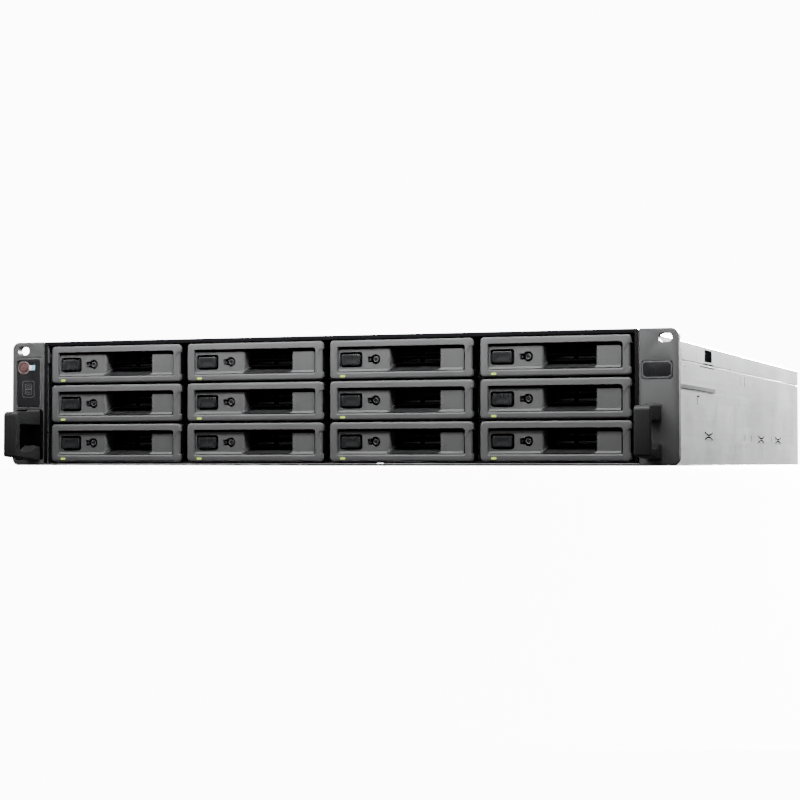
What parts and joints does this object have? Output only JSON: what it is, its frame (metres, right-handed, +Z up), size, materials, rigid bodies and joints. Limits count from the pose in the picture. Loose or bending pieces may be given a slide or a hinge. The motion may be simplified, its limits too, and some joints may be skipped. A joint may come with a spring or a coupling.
{
  "type": "network attached storage server",
  "caption": "Two-unit rack storage server with lockable swing-handle drive trays, front pull handles, a lift-off rear cover and plug-in rear power supplies.",
  "frame": {"origin": "centre of the underside of the whole unit's box", "axes": "+X to the right seen from the front, +Y to the rear, +Z up"},
  "size_m": [0.4826, 0.691, 0.0875],
  "materials": {
    "zinc_steel": "fine galvanised sheet, satin",
    "black_paint": "fine black powder coat",
    "ear_grey": "fine matt moulded texture",
    "grip_black": "satin moulded",
    "tray_grey": "fine matt moulded texture",
    "gloss_black": "gloss black",
    "button_plastic": "satin light moulded button",
    "drive_metal": "die cast drive case in a sheet sled",
    "circuit_board": "solder mask over glass laminate",
    "black_plastic": "satin black",
    "sink_aluminium": "extruded fins",
    "supply_steel": "plain plated sheet",
    "latch_green": "satin coloured touch point",
    "lamp_green": "lit light pipe"
  },
  "bodies": {
    "root": {"chassis": "zinc_steel", "front_cover": "zinc_steel", "drive_cage": "black_paint", "ear_left": "ear_grey", "ear_right": "ear_grey", "handle_left": "grip_black", "handle_right": "grip_black", "control_panel": "gloss_black", "name_plate": "gloss_black", "backplane": "circuit_board", "fan_wall": "black_plastic", "main_board": "circuit_board", "heat_sink": "sink_aluminium"},
    "tray_r1c4": {"tray_r1c4": "drive_metal"},
    "tray_handle_r1c4": {"tray_handle_r1c4": "tray_grey"},
    "tray_button_r1c4": {"tray_button_r1c4": "gloss_black"},
    "tray_r1c1": {"tray_r1c1": "drive_metal"},
    "tray_handle_r1c1": {"tray_handle_r1c1": "tray_grey"},
    "tray_button_r1c1": {"tray_button_r1c1": "gloss_black"},
    "tray_r1c2": {"tray_r1c2": "drive_metal"},
    "tray_handle_r1c2": {"tray_handle_r1c2": "tray_grey"},
    "tray_button_r1c2": {"tray_button_r1c2": "gloss_black"},
    "tray_r1c3": {"tray_r1c3": "drive_metal"},
    "tray_handle_r1c3": {"tray_handle_r1c3": "tray_grey"},
    "tray_button_r1c3": {"tray_button_r1c3": "gloss_black"},
    "tray_r2c1": {"tray_r2c1": "drive_metal"},
    "tray_handle_r2c1": {"tray_handle_r2c1": "tray_grey"},
    "tray_button_r2c1": {"tray_button_r2c1": "gloss_black"},
    "tray_r2c2": {"tray_r2c2": "drive_metal"},
    "tray_handle_r2c2": {"tray_handle_r2c2": "tray_grey"},
    "tray_button_r2c2": {"tray_button_r2c2": "gloss_black"},
    "tray_r2c3": {"tray_r2c3": "drive_metal"},
    "tray_handle_r2c3": {"tray_handle_r2c3": "tray_grey"},
    "tray_button_r2c3": {"tray_button_r2c3": "gloss_black"},
    "tray_r2c4": {"tray_r2c4": "drive_metal"},
    "tray_handle_r2c4": {"tray_handle_r2c4": "tray_grey"},
    "tray_button_r2c4": {"tray_button_r2c4": "gloss_black"},
    "tray_r3c1": {"tray_r3c1": "drive_metal"},
    "tray_handle_r3c1": {"tray_handle_r3c1": "tray_grey"},
    "tray_button_r3c1": {"tray_button_r3c1": "gloss_black"},
    "tray_r3c2": {"tray_r3c2": "drive_metal"},
    "tray_handle_r3c2": {"tray_handle_r3c2": "tray_grey"},
    "tray_button_r3c2": {"tray_button_r3c2": "gloss_black"},
    "tray_r3c3": {"tray_r3c3": "drive_metal"},
    "tray_handle_r3c3": {"tray_handle_r3c3": "tray_grey"},
    "tray_button_r3c3": {"tray_button_r3c3": "gloss_black"},
    "tray_r3c4": {"tray_r3c4": "drive_metal"},
    "tray_handle_r3c4": {"tray_handle_r3c4": "tray_grey"},
    "tray_button_r3c4": {"tray_button_r3c4": "gloss_black"},
    "top_cover": {"top_cover": "zinc_steel"},
    "power_button": {"power_button": "button_plastic"},
    "fan_rotor_1": {"fan_rotor_1": "black_plastic"},
    "fan_rotor_2": {"fan_rotor_2": "black_plastic"},
    "fan_rotor_3": {"fan_rotor_3": "black_plastic"},
    "power_supply_1": {"power_supply_1": "supply_steel"},
    "supply_latch_1": {"supply_latch_1": "latch_green"},
    "supply_fan_1": {"supply_fan_1": "black_plastic"},
    "power_supply_2": {"power_supply_2": "supply_steel"},
    "supply_latch_2": {"supply_latch_2": "latch_green"},
    "supply_fan_2": {"supply_fan_2": "black_plastic"}
  },
  "joints": [
    {"name": "tray_slide_r1c4", "type": "slide", "parent": "root", "child": "tray_r1c4", "axis": [0, -1, 0], "range_m": [0, 0.18]},
    {"name": "tray_handle_swing_r1c4", "type": "hinge", "parent": "tray_r1c4", "child": "tray_handle_r1c4", "pos_m": [0.20638, -0.3085, 0.07113], "axis": [0, 0, 1], "range_deg": [0, 55]},
    {"name": "tray_button_press_r1c4", "type": "slide", "parent": "tray_r1c4", "child": "tray_button_r1c4", "axis": [0, 1, 0], "range_m": [0, 0.0015], "stiffness_N_per_m": 900},
    {"name": "top_cover_lift", "type": "slide", "parent": "root", "child": "top_cover", "axis": [0, 0, 1], "range_m": [0, 0.12]},
    {"name": "power_button_press", "type": "slide", "parent": "root", "child": "power_button", "axis": [0, 1, 0], "range_m": [0, 0.0008], "stiffness_N_per_m": 1000},
    {"name": "fan_spin_1", "type": "hinge", "parent": "root", "child": "fan_rotor_1", "pos_m": [-0.142, -0.0595, 0.0435], "axis": [0, 1, 0], "continuous": true},
    {"name": "fan_spin_2", "type": "hinge", "parent": "root", "child": "fan_rotor_2", "pos_m": [0, -0.0595, 0.0435], "axis": [0, 1, 0], "continuous": true},
    {"name": "fan_spin_3", "type": "hinge", "parent": "root", "child": "fan_rotor_3", "pos_m": [0.142, -0.0595, 0.0435], "axis": [0, 1, 0], "continuous": true},
    {"name": "supply_slide_1", "type": "slide", "parent": "root", "child": "power_supply_1", "axis": [0, 1, 0], "range_m": [0, 0.16]},
    {"name": "supply_latch_press_1", "type": "slide", "parent": "power_supply_1", "child": "supply_latch_1", "axis": [-1, 0, 0], "range_m": [0, 0.0018], "stiffness_N_per_m": 900},
    {"name": "supply_fan_spin_1", "type": "hinge", "parent": "power_supply_1", "child": "supply_fan_1", "pos_m": [-0.1845, 0.3185, 0.0217], "axis": [0, 1, 0], "continuous": true},
    {"name": "supply_slide_2", "type": "slide", "parent": "root", "child": "power_supply_2", "axis": [0, 1, 0], "range_m": [0, 0.16]},
    {"name": "supply_latch_press_2", "type": "slide", "parent": "power_supply_2", "child": "supply_latch_2", "axis": [-1, 0, 0], "range_m": [0, 0.0018], "stiffness_N_per_m": 900},
    {"name": "supply_fan_spin_2", "type": "hinge", "parent": "power_supply_2", "child": "supply_fan_2", "pos_m": [-0.1845, 0.3185, 0.0629], "axis": [0, 1, 0], "continuous": true},
    {"name": "tray_slide_r1c1", "type": "slide", "parent": "root", "child": "tray_r1c1", "axis": [0, -1, 0], "range_m": [0, 0.18]},
    {"name": "tray_handle_swing_r1c1", "type": "hinge", "parent": "tray_r1c1", "child": "tray_handle_r1c1", "pos_m": [-0.11243, -0.3085, 0.07113], "axis": [0, 0, 1], "range_deg": [0, 55]},
    {"name": "tray_button_press_r1c1", "type": "slide", "parent": "tray_r1c1", "child": "tray_button_r1c1", "axis": [0, 1, 0], "range_m": [0, 0.0015], "stiffness_N_per_m": 900},
    {"name": "tray_slide_r1c2", "type": "slide", "parent": "root", "child": "tray_r1c2", "axis": [0, -1, 0], "range_m": [0, 0.18]},
    {"name": "tray_handle_swing_r1c2", "type": "hinge", "parent": "tray_r1c2", "child": "tray_handle_r1c2", "pos_m": [-0.00616, -0.3085, 0.07113], "axis": [0, 0, 1], "range_deg": [0, 55]},
    {"name": "tray_button_press_r1c2", "type": "slide", "parent": "tray_r1c2", "child": "tray_button_r1c2", "axis": [0, 1, 0], "range_m": [0, 0.0015], "stiffness_N_per_m": 900},
    {"name": "tray_slide_r1c3", "type": "slide", "parent": "root", "child": "tray_r1c3", "axis": [0, -1, 0], "range_m": [0, 0.18]},
    {"name": "tray_handle_swing_r1c3", "type": "hinge", "parent": "tray_r1c3", "child": "tray_handle_r1c3", "pos_m": [0.10011, -0.3085, 0.07113], "axis": [0, 0, 1], "range_deg": [0, 55]},
    {"name": "tray_button_press_r1c3", "type": "slide", "parent": "tray_r1c3", "child": "tray_button_r1c3", "axis": [0, 1, 0], "range_m": [0, 0.0015], "stiffness_N_per_m": 900},
    {"name": "tray_slide_r2c1", "type": "slide", "parent": "root", "child": "tray_r2c1", "axis": [0, -1, 0], "range_m": [0, 0.18]},
    {"name": "tray_handle_swing_r2c1", "type": "hinge", "parent": "tray_r2c1", "child": "tray_handle_r2c1", "pos_m": [-0.11243, -0.3085, 0.04348], "axis": [0, 0, 1], "range_deg": [0, 55]},
    {"name": "tray_button_press_r2c1", "type": "slide", "parent": "tray_r2c1", "child": "tray_button_r2c1", "axis": [0, 1, 0], "range_m": [0, 0.0015], "stiffness_N_per_m": 900},
    {"name": "tray_slide_r2c2", "type": "slide", "parent": "root", "child": "tray_r2c2", "axis": [0, -1, 0], "range_m": [0, 0.18]},
    {"name": "tray_handle_swing_r2c2", "type": "hinge", "parent": "tray_r2c2", "child": "tray_handle_r2c2", "pos_m": [-0.00616, -0.3085, 0.04348], "axis": [0, 0, 1], "range_deg": [0, 55]},
    {"name": "tray_button_press_r2c2", "type": "slide", "parent": "tray_r2c2", "child": "tray_button_r2c2", "axis": [0, 1, 0], "range_m": [0, 0.0015], "stiffness_N_per_m": 900},
    {"name": "tray_slide_r2c3", "type": "slide", "parent": "root", "child": "tray_r2c3", "axis": [0, -1, 0], "range_m": [0, 0.18]},
    {"name": "tray_handle_swing_r2c3", "type": "hinge", "parent": "tray_r2c3", "child": "tray_handle_r2c3", "pos_m": [0.10011, -0.3085, 0.04348], "axis": [0, 0, 1], "range_deg": [0, 55]},
    {"name": "tray_button_press_r2c3", "type": "slide", "parent": "tray_r2c3", "child": "tray_button_r2c3", "axis": [0, 1, 0], "range_m": [0, 0.0015], "stiffness_N_per_m": 900},
    {"name": "tray_slide_r2c4", "type": "slide", "parent": "root", "child": "tray_r2c4", "axis": [0, -1, 0], "range_m": [0, 0.18]},
    {"name": "tray_handle_swing_r2c4", "type": "hinge", "parent": "tray_r2c4", "child": "tray_handle_r2c4", "pos_m": [0.20638, -0.3085, 0.04348], "axis": [0, 0, 1], "range_deg": [0, 55]},
    {"name": "tray_button_press_r2c4", "type": "slide", "parent": "tray_r2c4", "child": "tray_button_r2c4", "axis": [0, 1, 0], "range_m": [0, 0.0015], "stiffness_N_per_m": 900},
    {"name": "tray_slide_r3c1", "type": "slide", "parent": "root", "child": "tray_r3c1", "axis": [0, -1, 0], "range_m": [0, 0.18]},
    {"name": "tray_handle_swing_r3c1", "type": "hinge", "parent": "tray_r3c1", "child": "tray_handle_r3c1", "pos_m": [-0.11243, -0.3085, 0.01583], "axis": [0, 0, 1], "range_deg": [0, 55]},
    {"name": "tray_button_press_r3c1", "type": "slide", "parent": "tray_r3c1", "child": "tray_button_r3c1", "axis": [0, 1, 0], "range_m": [0, 0.0015], "stiffness_N_per_m": 900},
    {"name": "tray_slide_r3c2", "type": "slide", "parent": "root", "child": "tray_r3c2", "axis": [0, -1, 0], "range_m": [0, 0.18]},
    {"name": "tray_handle_swing_r3c2", "type": "hinge", "parent": "tray_r3c2", "child": "tray_handle_r3c2", "pos_m": [-0.00616, -0.3085, 0.01583], "axis": [0, 0, 1], "range_deg": [0, 55]},
    {"name": "tray_button_press_r3c2", "type": "slide", "parent": "tray_r3c2", "child": "tray_button_r3c2", "axis": [0, 1, 0], "range_m": [0, 0.0015], "stiffness_N_per_m": 900},
    {"name": "tray_slide_r3c3", "type": "slide", "parent": "root", "child": "tray_r3c3", "axis": [0, -1, 0], "range_m": [0, 0.18]},
    {"name": "tray_handle_swing_r3c3", "type": "hinge", "parent": "tray_r3c3", "child": "tray_handle_r3c3", "pos_m": [0.10011, -0.3085, 0.01583], "axis": [0, 0, 1], "range_deg": [0, 55]},
    {"name": "tray_button_press_r3c3", "type": "slide", "parent": "tray_r3c3", "child": "tray_button_r3c3", "axis": [0, 1, 0], "range_m": [0, 0.0015], "stiffness_N_per_m": 900},
    {"name": "tray_slide_r3c4", "type": "slide", "parent": "root", "child": "tray_r3c4", "axis": [0, -1, 0], "range_m": [0, 0.18]},
    {"name": "tray_handle_swing_r3c4", "type": "hinge", "parent": "tray_r3c4", "child": "tray_handle_r3c4", "pos_m": [0.20638, -0.3085, 0.01583], "axis": [0, 0, 1], "range_deg": [0, 55]},
    {"name": "tray_button_press_r3c4", "type": "slide", "parent": "tray_r3c4", "child": "tray_button_r3c4", "axis": [0, 1, 0], "range_m": [0, 0.0015], "stiffness_N_per_m": 900}
  ]
}
